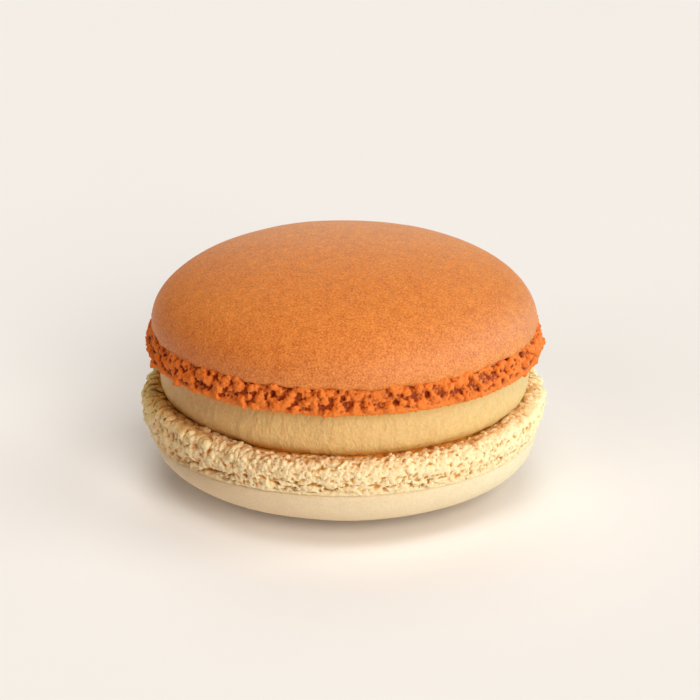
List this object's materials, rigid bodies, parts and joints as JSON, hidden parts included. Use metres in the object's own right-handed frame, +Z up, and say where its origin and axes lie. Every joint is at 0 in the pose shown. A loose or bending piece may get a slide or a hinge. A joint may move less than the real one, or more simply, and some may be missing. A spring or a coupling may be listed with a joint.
{
  "type": "french macaron",
  "caption": "Round sandwich biscuit: a smooth orange domed shell over a caramel cream filling and an upturned ivory shell, each shell with a crumbly ruffled foot.",
  "frame": {"origin": "middle of the flat spot of the lower dome, which the macaron rests on", "axes": "+Z up through the middle of both shells, +Y away from the side that shows best"},
  "size_m": [0.0464, 0.0463, 0.0286],
  "materials": {
    "ivory_shell": "matte baked almond meringue, ivory, smooth on the dome and porous and crumbly on the foot",
    "caramel_cream": "dense pale caramel cream with a soft satin sheen and faint upright wrinkles",
    "orange_shell": "satin baked almond meringue, orange, smooth on the dome and porous and crumbly on the foot"
  },
  "bodies": {
    "root": {"lower_shell": "ivory_shell", "filling": "caramel_cream", "upper_shell": "orange_shell"}
  },
  "joints": []
}
